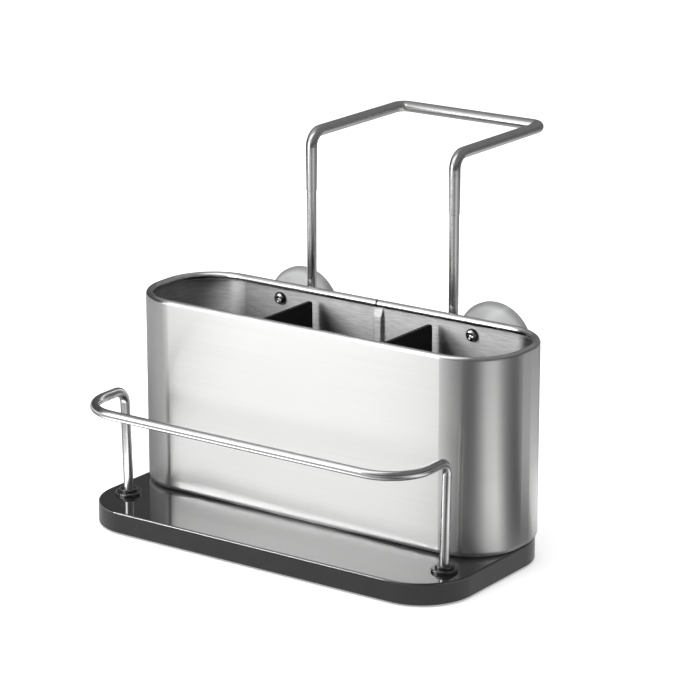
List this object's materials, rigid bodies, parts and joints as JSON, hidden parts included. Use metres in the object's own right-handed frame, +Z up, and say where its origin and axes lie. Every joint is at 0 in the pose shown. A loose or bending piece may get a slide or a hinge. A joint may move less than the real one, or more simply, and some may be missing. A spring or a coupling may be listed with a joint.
{
  "type": "kitchen sink caddy",
  "caption": "Steel kitchen sink caddy with a divided holder, a sponge shelf behind a wire rail, a sliding wire hook that goes round a faucet, and suction cups behind.",
  "frame": {"origin": "centre of the base's underside, on the plane of the rubber ring that the caddy stands on", "axes": "+X to the right seen from the front, +Y back towards the sink wall and the faucet, +Z up"},
  "size_m": [0.226, 0.2143, 0.1974],
  "materials": {
    "brushed_steel": "fine horizontal brushing, satin",
    "steel_wire": "satin bright wire",
    "screw_chrome": "bright",
    "black_base": "mirror gloss moulded",
    "black_insert": "satin moulded",
    "black_bracket": "fine moulded texture",
    "black_rubber": "semi-gloss soft",
    "clear_cup": "translucent soft, glossy"
  },
  "bodies": {
    "caddy": {"base_tray": "black_base", "foot_ring": "black_rubber", "steel_shell": "brushed_steel", "shell_screws": "screw_chrome", "rail_collar_left": "black_rubber", "rail_collar_right": "black_rubber", "hook_bracket_left": "black_bracket", "hook_bracket_right": "black_bracket", "leg_bush_left": "black_rubber", "leg_bush_right": "black_rubber", "bracket_screws": "screw_chrome", "suction_cup_left": "clear_cup", "suction_cup_right": "clear_cup"},
    "insert": {"divider_insert": "black_insert"},
    "rail": {"front_rail": "steel_wire"},
    "hook": {"faucet_hook": "steel_wire", "leg_cap_left": "black_rubber", "leg_cap_right": "black_rubber"}
  },
  "joints": [
    {"name": "hook_height", "type": "slide", "parent": "caddy", "child": "hook", "axis": [0, 0, 1], "range_m": [-0.0546, 0.0146]},
    {"name": "insert_lift", "type": "slide", "parent": "caddy", "child": "insert", "axis": [0, 0, 1], "range_m": [0, 0.11]},
    {"name": "rail_lift", "type": "slide", "parent": "caddy", "child": "rail", "axis": [0, 0, 1], "range_m": [0, 0.03]}
  ]
}
